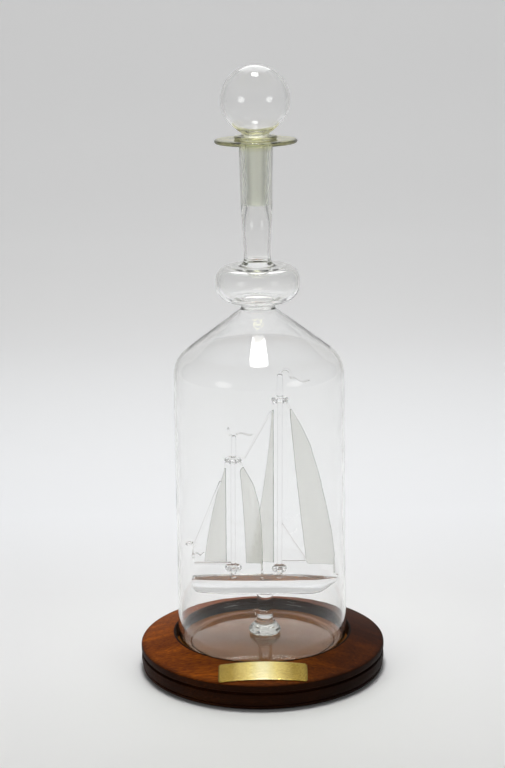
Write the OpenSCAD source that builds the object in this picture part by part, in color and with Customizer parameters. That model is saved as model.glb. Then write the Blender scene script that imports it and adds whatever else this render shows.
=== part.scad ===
// Ship in a bottle: a two-masted glass yacht under frosted glass sails, fused inside a blown
// decanter with a ball stopper, standing in the recess of a turned wooden plinth.
// Millimetres, +Z up, origin at the centre of the plinth's underside, bow towards +X,
// nameplate on the -Y side.

/* [Plinth] */
// Largest diameter of the turned plinth
plinth_d = 150; // [149:0.5:165]
// Height of the outer edge, where the sloping top ends
plinth_edge_h = 16.2; // [15:0.1:19]
// Height of the rim round the recess
plinth_rim_h = 22.8; // [21:0.1:26]
// Diameter of the recess that takes the bottle
recess_d = 107; // [106:0.5:110]
// Depth of the recess below its rim
recess_depth = 8.3; // [6:0.1:12]
// Thickness of the felt under the plinth
felt_t = 0.8; // [0.5:0.1:2]
// Distance of the felt from the plinth's edge
felt_inset = 6; // [3:0.5:15]

/* [Nameplate] */
// Width of the blank brass plate
plate_w = 52.4; // [30:0.2:54]
// Length of the plate down the slope, seen from above
plate_l = 15.7; // [10:0.1:16]
// Thickness of the plate
plate_t = 0.8; // [0.5:0.1:1.5]
// Corner radius of the plate
plate_corner_r = 1.8; // [0.5:0.1:4]

/* [Bottle] */
// Outside radius of the body near the bottom
body_r = 51.8; // [51:0.1:52.4]
// Outside radius of the body just under the shoulder
body_top_r = 51.1; // [50:0.1:52]
// Height at which the body starts to turn into the shoulder
shoulder_z = 184.5; // [178:0.5:188]
// Wall thickness of the body
wall = 1.5; // [1.2:0.1:2]
// How far the bottom is pushed up in the middle
punt = 4; // [2:0.1:5]
// Outside radius of the waist under the knop
waist_r = 10.2; // [9.6:0.1:11.5]
// Largest radius of the knop
knop_r = 25; // [23:0.1:27]
// Outside radius of the neck just above the knop
neck_low_r = 7.75; // [7.4:0.05:8.4]
// Outside radius of the neck just under the flange
neck_top_r = 9.9; // [9:0.1:10.5]
// Radius of the flange round the mouth
flange_r = 24.3; // [20:0.1:28]
// Thickness of the flange
flange_t = 2.4; // [2:0.1:3]
// Bore radius at the mouth, where the ground socket starts
bore_top_r = 5.95; // [5.6:0.05:6.4]
// Bore radius at the lower end of the ground socket
bore_low_r = 5.45; // [5.2:0.05:5.6]

/* [Stopper] */
// Radius of the hollow ball
ball_r = 20.4; // [16:0.1:24]
// Wall thickness of the ball
ball_wall = 1.1; // [0.8:0.1:2]
// Length of the ground plug below the flange
plug_l = 38; // [30:0.5:38.5]
// Radial gap between the plug and its socket
plug_gap = 0.05; // [0.02:0.01:0.1]

/* [Ship] */
// Distance of the ship's pedestal from the bottle's axis, towards the bow
ship_x = 1.3; // [0:0.1:2]
// Lean of the hand-fused ship towards its bow, in degrees
ship_lean = 0.76; // [0:0.01:1]
// Height of the deck
deck_z = 56; // [54:0.5:58]
// Radius of the glass rod that the hull is made from
hull_r = 7.2; // [6.9:0.1:7.8]
// Radius of the pedestal's stem
stem_r = 4.9; // [3.5:0.1:5.5]
// Radius of the mainmast
main_r = 1.6; // [1.2:0.1:1.8]
// Radius of the mizzen mast
mizzen_r = 1.45; // [1.1:0.05:1.7]
// Thickness of the sails
sail_t = 0.9; // [0.7:0.1:1.2]
// Radius of the thin stays
stay_r = 0.55; // [0.4:0.05:0.8]

/* [Hidden] */
$fn = 96;
plinth_r = plinth_d / 2;
recess_r = recess_d / 2;
recess_z = plinth_rim_h - recess_depth;
edge_round = 1.4;
slope_r = plinth_r - edge_round;
top_slope = (plinth_rim_h - plinth_edge_h - 0.3) / (slope_r - recess_r);
lift_gap = 0.1;
bottle_z = recess_z + lift_gap;
foot_ring_r = 44;
corner_r = body_r - foot_ring_r;
bottom_t = 2;
floor_z = bottle_z + punt + bottom_t;
floor_flat_r = 11;
shoulder_r = 19;
shoulder_a = 52.5;
waist_round = 1.6;
waist_z = 225.8;
waist_bore_r = 8.5;
knop_low_r = 10.5;
knop_low_z = 239.5;
knop_top_r = 8.5;
knop_top_z = 242.2;
knop_wall = 1.8;
knop_roof = 2.3;
knop_top = knop_top_z + knop_top_r;
neck_round = 4;
neck_z = 257;
neck_mid_z = 287;
neck_mid_r = 9.35;
neck_bore_r = 5;
flange_z = 325;
flange_under_z = flange_z - flange_t;
flange_round = 2.5;
socket_z = 285.5;
ball_z = 347.6;
stopper_z = flange_z + lift_gap;
collar_r = 8.1;
collar_z = 328.4;
disc_r = 12.75;
disc_t = 1.9;
plug_bore_r = 3.6;
main_x = 8.9;
mizzen_x = -19.5;
main_foot_z = 61.9;
main_ring_z = 169;
mizzen_foot_z = 62.4;
mizzen_ring_z = 131.2;
main_top_z = 171.2;
mizzen_top_z = 133;
sail_foot_z = 65.4;
staff_top = [-44.6, 0, 78.4];

GLASS = [0.86, 0.91, 0.90, 0.35];
FROST = [0.80, 0.82, 0.80, 0.75];
WOOD = [0.36, 0.17, 0.08];
BRASS = [0.80, 0.66, 0.28];
FELT = [0.16, 0.13, 0.11];

// ---------- outline helpers ----------

// Points on an arc about c from angle a to angle b.
function arc(c, r, a, b, n) = [
  for (i = [0:n]) c + r * [cos(a + (b - a) * i / n), sin(a + (b - a) * i / n)]
];

// A bowed line from p to q, bulging by sag to the left of the way it runs.
function bow(p, q, sag, n) = [
  for (i = [0:n])
    let (t = i / n, d = q - p, l = norm(d))
    p + d * t + [-d[1], d[0]] / l * sag * 4 * t * (1 - t)
];

// One point of a flat band's edge, off the path by s.
function edge_point(path, i, s) =
  let (
    a = path[max(i - 1, 0)],
    b = path[min(i + 1, len(path) - 1)],
    d = (b - a) / norm(b - a)
  )
  path[i] + [-d[1], d[0]] * s;

function band(path, w) = concat(
  [for (i = [0:len(path) - 1]) edge_point(path, i, w / 2)],
  [for (i = [len(path) - 1:-1:0]) edge_point(path, i, -w / 2)]
);

// A wavy line from p to q with the given height and number of waves.
function wave(p, q, h, waves, n) = [
  for (i = [0:n])
    let (t = i / n, d = q - p)
    p + d * t + [0, h * sin(360 * waves * t)]
];

// ---------- shared shapes ----------

module in_ship() {
  translate([ship_x, 0, 0]) rotate([0, ship_lean, 0]) children();
}

module rod(p, q, r) {
  d = q - p;
  translate(p)
    rotate([0, acos(d[2] / norm(d)), atan2(d[1], d[0])])
      cylinder(h = norm(d), r = r, $fn = 24);
}

// A flat shape drawn in the ship's X-Z plane, centred on y.
module upright(outline, depth, y = 0) {
  translate([0, y, 0])
    rotate([90, 0, 0])
      linear_extrude(height = depth, center = true)
        polygon(outline);
}

// A sheet bent to radius r that passes over a and b, in plan, cut to the outline.
module sail(outline, a, b, r) {
  chord = b - a;
  half = norm(chord) / 2;
  centre = (a + b) / 2 + [-chord[1], chord[0]] / (2 * half) * sqrt(r * r - half * half);
  intersection() {
    upright(outline, 40);
    translate([centre[0], centre[1], 0])
      difference() {
        cylinder(h = 200, r = r + sail_t / 2);
        translate([0, 0, -1]) cylinder(h = 202, r = r - sail_t / 2);
      }
  }
}

// A thick glass bead fused round a mast, a little hollow on top.
module bead(x, z, r_out, r_tube, r_mast) {
  r_ring = r_out - r_tube;
  web = 1.2 * r_tube;
  translate([x, 0, z])
    rotate_extrude()
      difference() {
        union() {
          translate([r_ring, 0]) circle(r = r_tube, $fn = 32);
          translate([r_mast, -web / 2]) square([r_ring - r_mast, web]);
        }
        translate([-1, -r_tube - 1]) square([r_mast + 1, 2 * r_tube + 2]);
      }
}

// ---------- stand ----------

module plinth() {
  lip = 0.8;
  groove_in = plinth_r - 1.7;
  color(WOOD)
    rotate_extrude()
      polygon(concat(
        [[0, felt_t], [plinth_r - 2.2, felt_t]],
        arc([plinth_r - 2.2, felt_t + 1.6], 1.6, -90, 0, 4),
        [[plinth_r - 0.6, 2.9], [plinth_r - 1.2, 3], [plinth_r - 1.2, 3.5], [plinth_r - 0.5, 3.7]],
        [[plinth_r, 6.3], [plinth_r - 0.2, 9.8], [plinth_r - 0.5, 10.1]],
        [[groove_in, 10.3], [groove_in, 11.6], [plinth_r - 0.3, 11.9], [plinth_r, 12.6]],
        arc([slope_r, plinth_edge_h - 1.1], edge_round, 0, 68, 5),
        [[slope_r - 0.6, plinth_edge_h + 0.3 + 0.6 * top_slope]],
        [[recess_r + lip, plinth_edge_h + 0.3 + top_slope * (slope_r - recess_r - lip)]],
        arc([recess_r + lip, plinth_rim_h - lip - 0.15], lip, 90, 180, 4),
        [[recess_r, recess_z], [0, recess_z]]
      ));
}

module plinth_felt() {
  color(FELT) cylinder(h = felt_t, r = plinth_r - felt_inset);
}

// The plate is bent over the plinth's slope, so it is cut from a thin cone.
module nameplate() {
  inner = recess_r + 0.9;
  outer = plinth_r + 3;
  glue_t = 0.02;
  top = plinth_edge_h + 0.3 + glue_t + top_slope * (slope_r - inner);
  low = plinth_edge_h + 0.3 + glue_t + top_slope * (slope_r - outer);
  plate_y = -(inner + 0.1 + plate_l / 2);
  half = [plate_w / 2 - plate_corner_r, plate_l / 2 - plate_corner_r];
  color(BRASS)
    intersection() {
      rotate_extrude($fn = 180)
        polygon([[inner - 2, top + 2 * top_slope], [outer, low], [outer, low + plate_t],
          [inner - 2, top + 2 * top_slope + plate_t]]);
      translate([0, plate_y, 0])
        linear_extrude(height = 40)
          union() {
            square([plate_w, 2 * half[1]], center = true);
            square([2 * half[0], plate_l], center = true);
            for (sx = [-1, 1], sy = [-1, 1])
              translate([sx * half[0], sy * half[1]]) circle(r = plate_corner_r, $fn = 32);
          }
    }
}

// ---------- bottle and stopper ----------

function punt_r(rise) = (foot_ring_r * foot_ring_r + rise * rise) / (2 * rise);
function punt_arc(rise, z, a, b) =
  arc([0, z + rise - punt_r(rise)], punt_r(rise), a, b, 8);

// Blown body with its shoulder, up to the middle of the waist, where the knop is fused on.
module bottle_body() {
  punt_a = 90 - asin(foot_ring_r / punt_r(punt));
  flat_a = 90 - asin(floor_flat_r / punt_r(punt));
  shoulder_c = [body_top_r - shoulder_r, shoulder_z];
  corner_c = [foot_ring_r, bottle_z + corner_r];
  inner_foot = bottle_z + wall;
  color(GLASS)
    rotate_extrude($fn = 180)
      polygon(concat(
        punt_arc(punt, bottle_z, 90, punt_a),
        arc(corner_c, corner_r, -84, 0, 7),
        arc(shoulder_c, shoulder_r, 0, shoulder_a, 8),
        arc([waist_r + waist_round, waist_z], waist_round, 180 + shoulder_a, 180, 4),
        [[waist_bore_r, waist_z], [waist_bore_r, waist_z - 0.2]],
        arc(shoulder_c, shoulder_r - wall, shoulder_a, 0, 8),
        arc(corner_c, corner_r - wall, 0, -84, 6),
        punt_arc(punt, inner_foot + bottom_t - wall, punt_a, flat_a),
        [[floor_flat_r, floor_z], [0, floor_z]]
      ));
}

// Hollow knop between the waist and the foot of the neck.
module bottle_knop() {
  knop_low_c = [knop_r - knop_low_r, knop_low_z];
  knop_top_c = [knop_r - knop_top_r, knop_top_z];
  roof_r = knop_top_r - knop_wall;
  color(GLASS)
    rotate_extrude($fn = 180)
      polygon(concat(
        arc([waist_r + waist_round, waist_z], waist_round, 180, 95, 4),
        arc(knop_low_c, knop_low_r, -90, 0, 9),
        arc(knop_top_c, knop_top_r, 0, 90, 8),
        arc([neck_low_r + neck_round + 0.25, knop_top + neck_round], neck_round, 270, 180, 6),
        [[neck_low_r, neck_z], [neck_bore_r, neck_z], [neck_bore_r, knop_top + 1.5]],
        arc([neck_bore_r + 2.6, knop_top + 0.3], 2.6, 180, 270, 4),
        arc([knop_top_c[0], knop_top - knop_roof - roof_r], roof_r, 90, 0, 6),
        arc(knop_low_c, knop_low_r - knop_wall, 0, -90, 7),
        [[waist_bore_r + 1.8, waist_z + 4.1], [waist_bore_r + 0.3, waist_z + 3.1]],
        [[waist_bore_r, waist_z + 1.8], [waist_bore_r, waist_z]]
      ));
}

// Neck with its ground socket for the stopper, and the broad flange round the mouth.
module bottle_neck() {
  color(GLASS)
    rotate_extrude($fn = 180)
      polygon(concat(
        [[neck_low_r, neck_z], [neck_mid_r, neck_mid_z]],
        arc([neck_top_r + flange_round, flange_under_z - flange_round], flange_round, 180, 90, 5),
        arc([flange_r - flange_t / 2, flange_z - flange_t / 2], flange_t / 2, -90, 90, 8),
        [[bore_top_r + 0.4, flange_z], [bore_top_r, flange_z - 0.5]],
        [[bore_low_r, socket_z], [neck_bore_r, socket_z - 1.5], [neck_bore_r, neck_z]]
      ));
}

module stopper_ball() {
  in_r = ball_r - ball_wall;
  hole_a = -57;
  color(GLASS)
    rotate_extrude($fn = 120)
      polygon(concat(
        arc([0, ball_z], ball_r, 90, hole_a, 30),
        [[collar_r + 1.2, collar_z + 1.6], [collar_r, collar_z]],
        [[collar_r + 0.9, stopper_z + disc_t + 0.5]],
        arc([disc_r - disc_t / 2, stopper_z + disc_t / 2], disc_t / 2, 90, -90, 6),
        [[plug_bore_r, stopper_z], [plug_bore_r + 2.6, collar_z], [collar_r - 0.6, collar_z + 2]],
        arc([0, ball_z], in_r, hole_a, 90, 28)
      ));
}

// The ground plug: hollow, closed below, and tapered like its socket.
module stopper_plug() {
  taper = (bore_top_r - bore_low_r) / (flange_z - socket_z);
  low_z = flange_z - plug_l;
  low_r = bore_low_r + taper * (low_z - socket_z) - plug_gap;
  top_r = bore_low_r + taper * (stopper_z - socket_z) - plug_gap;
  floor_t = 1.6;
  color(FROST)
    rotate_extrude()
      polygon(concat(
        [[0, low_z]],
        arc([low_r - 0.6, low_z + 0.6], 0.6, -90, 0, 3),
        [[top_r, stopper_z], [plug_bore_r, stopper_z]],
        arc([plug_bore_r - 1.5, low_z + floor_t + 1.5], 1.5, 0, -90, 4),
        [[0, low_z + floor_t]]
      ));
}

// ---------- ship: pedestal and hull ----------

module pedestal_foot() {
  skirt_r = 10.7;
  skirt_z = 23.5;
  weld_z = [27.0, 28.0, 28.7, 29.5, 30.4];
  weld_r = [stem_r + 0.3, stem_r + 0.5, stem_r + 0.1, stem_r + 0.5, stem_r];
  color(GLASS)
    intersection() {
      in_ship()
        rotate_extrude()
          polygon(concat(
            [[0, 19]],
            [for (a = [-72:12:12]) [6 + (skirt_r - 6) * cos(a), skirt_z + 3.1 * sin(a)]],
            [for (i = [0:4]) [weld_r[i], weld_z[i]]],
            [[0, weld_z[4]]]
          ));
      translate([-30, -30, floor_z]) cube([60, 60, 20]);
    }
}

module pedestal_stem() {
  color(GLASS)
    in_ship()
      difference() {
        translate([0, 0, 30.4]) cylinder(h = deck_z - 32, r = stem_r);
        hull_rod();
      }
}

module hull_rod() {
  translate([-60, 0, deck_z - 3.4])
    rotate([0, 90, 0])
      cylinder(h = 120, r = hull_r);
}

// The side profile bounds the rod fore and aft, the plan narrows it to stern and bow.
module yacht_hull() {
  side = concat(
    [[-43.2, deck_z], [-44.5, deck_z - 1.5], [-44.6, deck_z - 4.5]],
    arc([-40, deck_z - 5.2], 4.6, 190, 250, 4),
    [[-34, deck_z - 10.2], [-24, deck_z - 11.2], [31.6, deck_z - 11.2]],
    [[34.4, deck_z - 9.8], [43.3, deck_z - 3.2], [45.2, deck_z]]
  );
  widths = [
    [-46, 3.6], [-43.2, 4.6], [-32, 6.2], [-18, 7.2], [-6, 7.6], [8, 7.4],
    [20, 6.2], [30, 4.6], [38, 2.9], [43, 1.4], [45.4, 0.5]
  ];
  plan = concat(
    [for (w = widths) w],
    [for (i = [len(widths) - 1:-1:0]) [widths[i][0], -widths[i][1]]]
  );
  color(GLASS)
    in_ship()
      intersection() {
        hull_rod();
        upright(side, 40);
        linear_extrude(height = deck_z) polygon(plan);
      }
}

module bow_bead() {
  color(GLASS)
    in_ship()
      translate([44.3, 0, deck_z + 1.1]) sphere(r = 1.1, $fn = 24);
}

module deck_post() {
  color(GLASS)
    in_ship()
      translate([-1.8, -2, deck_z]) cylinder(h = 6, r1 = 1, r2 = 0.6, $fn = 24);
}

// ---------- ship: masts ----------

module mast(x, r, top) {
  foot_h = 3.2;
  in_ship()
    translate([x, 0, 0])
      union() {
        translate([0, 0, deck_z]) cylinder(h = foot_h, r1 = r + 0.5, r2 = r, $fn = 32);
        translate([0, 0, deck_z + foot_h]) cylinder(h = top - deck_z - foot_h, r = r, $fn = 32);
      }
}

module main_mast() {
  color(GLASS) mast(main_x, main_r, main_top_z);
}

module mizzen_mast() {
  color(GLASS) mast(mizzen_x, mizzen_r, mizzen_top_z);
}

module main_topmast() {
  color(GLASS)
    in_ship()
      translate([main_x - 0.1, 0, main_top_z]) cylinder(h = 13.6, r1 = 2, r2 = 1.7, $fn = 32);
}

module mizzen_topmast() {
  color(GLASS)
    in_ship()
      translate([mizzen_x + 0.5, 0, mizzen_top_z]) cylinder(h = 13.6, r1 = 1.5, r2 = 1.3, $fn = 32);
}

module main_foot_bead() {
  color(GLASS) in_ship() bead(main_x, main_foot_z, 4.8, 1.8, main_r);
}

module main_top_bead() {
  color(GLASS) in_ship() bead(main_x - 0.1, main_ring_z, 5.2, 1.6, main_r + 0.15);
}

module mizzen_foot_bead() {
  color(GLASS) in_ship() bead(mizzen_x, mizzen_foot_z, 5.3, 1.5, mizzen_r);
}

module mizzen_top_bead() {
  color(GLASS) in_ship() bead(mizzen_x, mizzen_ring_z, 5.3, 1.25, mizzen_r);
}

// ---------- ship: sails ----------

module genoa() {
  head = [15.4, 162.9];
  luff = [head, [22.5, 151.3], [27.5, 139.9], [32.8, 122.1], [37.2, 103.7],
    [41, 85.1], [42.8, 70.9], [43.3, 58.6]];
  color(FROST)
    in_ship()
      sail(concat(luff, [[42.3, 58.8], [42, 64.4], [27.4, 64.1], [25.5, 65]],
        bow([25.5, 66], [15, 160], 0.3, 6)), [45, 0], [14, 0], 62);
}

module mainsail() {
  color(FROST)
    in_ship()
      sail(concat([[5.4, sail_foot_z], [5, 161.8], [4.2, 162]],
        bow([4.1, 161], [-9.8, sail_foot_z], 2, 8)), [6, 0.4], [-10.5, 3.2], 34);
}

module mizzen_staysail() {
  luff = [[-13.3, 126.8], [-10.2, 121.5], [-7, 115.8], [-3.6, 103.7], [-2.1, 89],
    [-1.4, 74.1], [-1.3, 62]];
  color(FROST)
    in_ship()
      sail(concat(luff, [[-1.9, 62], [-2.2, 65.2], [-11.4, 65.8]],
        bow([-11.5, 67], [-15.3, 124.6], -0.5, 5)), [0, -2.2], [-16, -0.6], 36);
}

module mizzen_sail() {
  color(FROST)
    in_ship()
      sail(concat([[-23.6, sail_foot_z + 0.8], [-23.9, 125.9], [-24.7, 125.6]],
        bow([-24.9, 124], [-37.1, sail_foot_z + 0.8], -1.6, 7)), [-23, 0], [-38, 1.2], 38);
}

// Short glass threads between the beads at the mastheads and the heads of the sails.
module sail_head_links() {
  color(GLASS)
    in_ship() {
      rod([13.2, 0, 167], [15.1, 0, 163.2], 0.6);
      rod([4.7, 0.3, 166.9], [4.6, 0.4, 162.3], 0.6);
      rod([-24.1, 0, 129.7], [-24.3, 0.2, 126.2], 0.6);
      rod([-14.9, -0.3, 129.7], [-13.8, -0.7, 127], 0.6);
    }
}

// ---------- ship: stays, booms and flags ----------

module triatic_stay() {
  color(GLASS) in_ship() rod([3.4, 0, 161.5], [-12.6, 0, 132.3], stay_r);
}

module backstay() {
  color(GLASS)
    in_ship()
      difference() {
        rod([-26.9, -0.35, 118], [-43.7, 0, 76.1], stay_r + 0.2);
        staff_thread();
      }
}

module mizzen_boom() {
  color(GLASS)
    in_ship()
      difference() {
        rod([mizzen_x, 0, sail_foot_z - 0.1], [-43.4, 0, sail_foot_z - 0.1], 0.75);
        translate([mizzen_x, 0, deck_z + 4]) cylinder(h = 20, r = mizzen_r, $fn = 32);
      }
}

module genoa_sheet() {
  color(GLASS)
    in_ship()
      difference() {
        rod([main_x, 0, 92.6], [25.1, 0, 67.6], 0.45);
        translate([main_x, 0, deck_z + 4]) cylinder(h = 60, r = main_r, $fn = 32);
      }
}

module genoa_foot_rod() {
  color(GLASS)
    in_ship()
      difference() {
        rod([main_x, 0, 66.6], [25, 0, 66.6], 0.45);
        translate([main_x, 0, deck_z + 4]) cylinder(h = 20, r = main_r, $fn = 32);
      }
}

module main_crook() {
  bend_r = 3.1;
  tube_r = 0.85;
  color(GLASS)
    in_ship()
      translate([main_x - 0.1 + bend_r, 0, main_top_z + 13.6])
        rotate([90, 0, 0])
          rotate_extrude(angle = 212, start = -32, $fn = 64)
            translate([bend_r, 0]) circle(r = tube_r, $fn = 24);
}

module main_pennant() {
  color(GLASS)
    in_ship()
      upright(band(concat([[14.9, 182.6]], wave([15.6, 182], [26.9, 180], 0.9, 1.2, 12)), 0.8), 1.6);
}

module mizzen_hook() {
  bend_r = 1.6;
  top = mizzen_top_z + 13.6;
  color(GLASS)
    in_ship()
      difference() {
        union() {
          translate([mizzen_x + 0.5 - bend_r, 0, top + bend_r])
            rotate([90, 0, 0])
              rotate_extrude(angle = 110, start = 180, $fn = 48)
                translate([bend_r, 0]) circle(r = 0.6, $fn = 24);
          translate([mizzen_x + 0.5 - 2 * bend_r, 0, top + bend_r]) cylinder(h = 3.4, r = 0.6, $fn = 24);
        }
        translate([mizzen_x + 0.5, 0, top - 3]) cylinder(h = 3, r = 1.32, $fn = 32);
      }
}

module mizzen_pennant() {
  color(GLASS)
    in_ship()
      upright(band(wave([-17.6, 147.2], [-7.6, 147.6], 0.7, 0.9, 10), 0.8), 1.6);
}

module staff_thread() {
  rod([-44, 0, sail_foot_z], staff_top, 0.5);
}

// A thread up from the end of the boom, with a knot low down and a loop on top.
module ensign_staff() {
  loop_r = 1.9;
  color(GLASS)
    in_ship()
      union() {
        staff_thread();
        translate([-44.2, 0, 70]) sphere(r = 1.2, $fn = 32);
        translate(staff_top - [loop_r, 0, 0])
          rotate_extrude($fn = 48)
            translate([loop_r, 0]) circle(r = 0.65, $fn = 24);
      }
}

module ensign() {
  color(GLASS)
    in_ship()
      upright(band(wave([-43.2, 70.9], [-37.6, 71.6], 0.8, 1.1, 10), 0.7), 1.5);
}

plinth();
plinth_felt();
nameplate();
bottle_body();
bottle_knop();
bottle_neck();
stopper_ball();
stopper_plug();
pedestal_foot();
pedestal_stem();
yacht_hull();
bow_bead();
deck_post();
main_mast();
main_topmast();
main_foot_bead();
main_top_bead();
mizzen_mast();
mizzen_topmast();
mizzen_foot_bead();
mizzen_top_bead();
genoa();
mainsail();
mizzen_staysail();
mizzen_sail();
sail_head_links();
triatic_stay();
backstay();
mizzen_boom();
genoa_sheet();
genoa_foot_rod();
main_crook();
main_pennant();
mizzen_hook();
mizzen_pennant();
ensign_staff();
ensign();
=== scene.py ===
"""Ship in a bottle: the looks of the turned plinth, the blown decanter and the lampworked yacht."""

import math

import bmesh
import bpy
from mathutils import Matrix, Vector


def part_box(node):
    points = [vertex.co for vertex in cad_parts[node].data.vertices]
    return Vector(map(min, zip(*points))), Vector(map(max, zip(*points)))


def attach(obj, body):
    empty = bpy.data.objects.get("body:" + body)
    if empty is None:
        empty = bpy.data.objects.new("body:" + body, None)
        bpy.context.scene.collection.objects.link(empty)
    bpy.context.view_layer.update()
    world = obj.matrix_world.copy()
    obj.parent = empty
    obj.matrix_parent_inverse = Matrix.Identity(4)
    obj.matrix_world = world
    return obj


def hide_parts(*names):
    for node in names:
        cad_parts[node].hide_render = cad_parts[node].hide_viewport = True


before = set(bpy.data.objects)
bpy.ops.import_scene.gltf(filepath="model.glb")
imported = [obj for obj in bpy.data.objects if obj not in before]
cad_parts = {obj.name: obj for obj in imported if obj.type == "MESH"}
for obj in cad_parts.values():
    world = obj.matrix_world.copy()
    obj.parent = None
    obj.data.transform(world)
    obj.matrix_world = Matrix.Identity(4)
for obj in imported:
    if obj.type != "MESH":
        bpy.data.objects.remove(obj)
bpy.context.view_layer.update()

MM = 0.001
STAND, BOTTLE, STOPPER = "stand", "bottle_and_ship", "stopper"
HOLE_R = 53.5       # radius of the plinth's recess
EDGE_Z = 16.2       # height where the plinth's slope meets its moulded edge


def low(node, axis=2):
    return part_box(node)[0][axis] / MM


def high(node, axis=2):
    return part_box(node)[1][axis] / MM


# ---------------------------------------------------------------- colours and node trees

def srgb(code):
    """A hex colour as linear RGBA."""
    out = []
    for i in (0, 2, 4):
        c = int(code[i:i + 2], 16) / 255
        out.append(c / 12.92 if c <= 0.04045 else ((c + 0.055) / 1.055) ** 2.4)
    return (*out, 1.0)


def add(tree, kind, inputs=None, **settings):
    """Adds one node, sets its settings and fills its inputs with values or links."""
    node = tree.nodes.new(kind)
    for key, value in settings.items():
        setattr(node, key, value)
    for key, value in (inputs or {}).items():
        if isinstance(value, bpy.types.NodeSocket):
            tree.links.new(value, node.inputs[key])
        else:
            node.inputs[key].default_value = value
    return node


def calc(tree, op, a, b=0.0, c=0.0):
    return add(tree, "ShaderNodeMath", {0: a, 1: b, 2: c}, operation=op).outputs[0]


def vec(tree, op, a, b=(0, 0, 0)):
    return add(tree, "ShaderNodeVectorMath", {0: a, 1: b}, operation=op).outputs[0]


def scaled(tree, vector, factor):
    node = add(tree, "ShaderNodeVectorMath", {0: vector, "Scale": factor}, operation="SCALE")
    return node.outputs[0]


def noise(tree, vector, scale, detail=2.0, roughness=0.5, distortion=0.0):
    return add(tree, "ShaderNodeTexNoise", {
        "Vector": vector, "Scale": scale, "Detail": detail, "Roughness": roughness,
        "Distortion": distortion}).outputs["Fac"]


def ramp(tree, factor, stops):
    """A colour ramp through (position, colour) stops."""
    node = add(tree, "ShaderNodeValToRGB", {"Fac": factor})
    cr = node.color_ramp
    while len(cr.elements) < len(stops):
        cr.elements.new(0.5)
    for element, (position, colour) in zip(cr.elements, stops):
        element.position = position
        element.color = colour
    return node.outputs["Color"]


def mixed(tree, factor, a, b, how="MIX"):
    node = add(tree, "ShaderNodeMix", {0: factor, 6: a, 7: b}, data_type="RGBA", blend_type=how)
    return node.outputs[2]


def bump(tree, height, strength, distance):
    return add(tree, "ShaderNodeBump", {
        "Height": height, "Strength": strength, "Distance": distance}).outputs["Normal"]


def away(tree, part):
    """Distance from the upright axis, from separated coordinates."""
    square = calc(tree, "MULTIPLY", part[0], part[0])
    return calc(tree, "SQRT", calc(tree, "MULTIPLY_ADD", part[1], part[1], square))


def surface(name):
    """A fresh material: its tree, its principled shader and millimetre object coordinates."""
    material = bpy.data.materials.new(name)
    material.use_nodes = True
    tree = material.node_tree
    shader = tree.nodes["Principled BSDF"]
    spot = add(tree, "ShaderNodeTexCoord").outputs["Object"]
    return material, tree, shader, scaled(tree, spot, 1 / MM)


def constant(shader, **values):
    for key, value in values.items():
        shader.inputs[key.replace("_", " ").title().replace("Ior", "IOR")].default_value = value


# ---------------------------------------------------------------- materials

def lets_lamps_through(tree, shader, tint):
    """Lamps reach what stands behind the glass, as light does through thin clear walls."""
    out = tree.nodes["Material Output"]
    path = add(tree, "ShaderNodeLightPath").outputs["Is Shadow Ray"]
    clear = add(tree, "ShaderNodeBsdfTransparent", {"Color": tint}).outputs[0]
    both = add(tree, "ShaderNodeMixShader", {0: path, 1: shader.outputs[0], 2: clear})
    tree.links.new(both.outputs[0], out.inputs["Surface"])


def clear_glass(name, thick, absorbs, density):
    """Flame-worked soda glass: fire-polished, so it has no texture but its own slow waves.
    The iron in it takes a little blue and red out, which shows olive where it is seen edge-on, and
    most in the lip, where the glass was gathered thick. Thick is the colour it has there. The neck's
    socket is ground matt for the plug. The grey tint keeps its mirror reflections soft."""
    material, tree, shader, mm = surface(name)
    constant(shader, ior=1.47, transmission_weight=1.0, specular_tint=srgb("BCBCBC"))
    part = add(tree, "ShaderNodeSeparateXYZ", {0: mm}).outputs
    height = part[2]
    seat = calc(tree, "MULTIPLY", calc(tree, "GREATER_THAN", height, low("stopper_plug") - 0.6),
                calc(tree, "LESS_THAN", height, high("stopper_plug") + 0.1))
    seat = calc(tree, "MULTIPLY", seat, calc(tree, "LESS_THAN", away(tree, part), 6.8))
    tree.links.new(calc(tree, "MULTIPLY", seat, 0.5), shader.inputs["Roughness"])
    lip = high("bottle_neck")
    tall = lip + 45.0
    share = add(tree, "ShaderNodeMapRange", {"Value": height, "From Min": 0.0, "From Max": tall})
    tone = ramp(tree, share.outputs[0], [
        (0.0, srgb("FFFFFF")), ((lip - 7.0) / tall, srgb("FFFFFF")), ((lip - 3.0) / tall, srgb(thick)),
        ((lip + 1.8) / tall, srgb(thick)), ((lip + 3.2) / tall, srgb("FFFFFF"))])
    tree.links.new(mixed(tree, seat, tone, srgb("E9E9E5")), shader.inputs["Base Color"])
    waves = noise(tree, mm, 0.09, 1.0)
    tree.links.new(bump(tree, waves, 0.12, 0.6 * MM), shader.inputs["Normal"])
    if density:
        volume = add(tree, "ShaderNodeVolumeAbsorption", {"Color": srgb(absorbs), "Density": density})
        tree.links.new(volume.outputs[0], tree.nodes["Material Output"].inputs["Volume"])
    lets_lamps_through(tree, shader, srgb("F4F6F1"))
    return material


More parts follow.
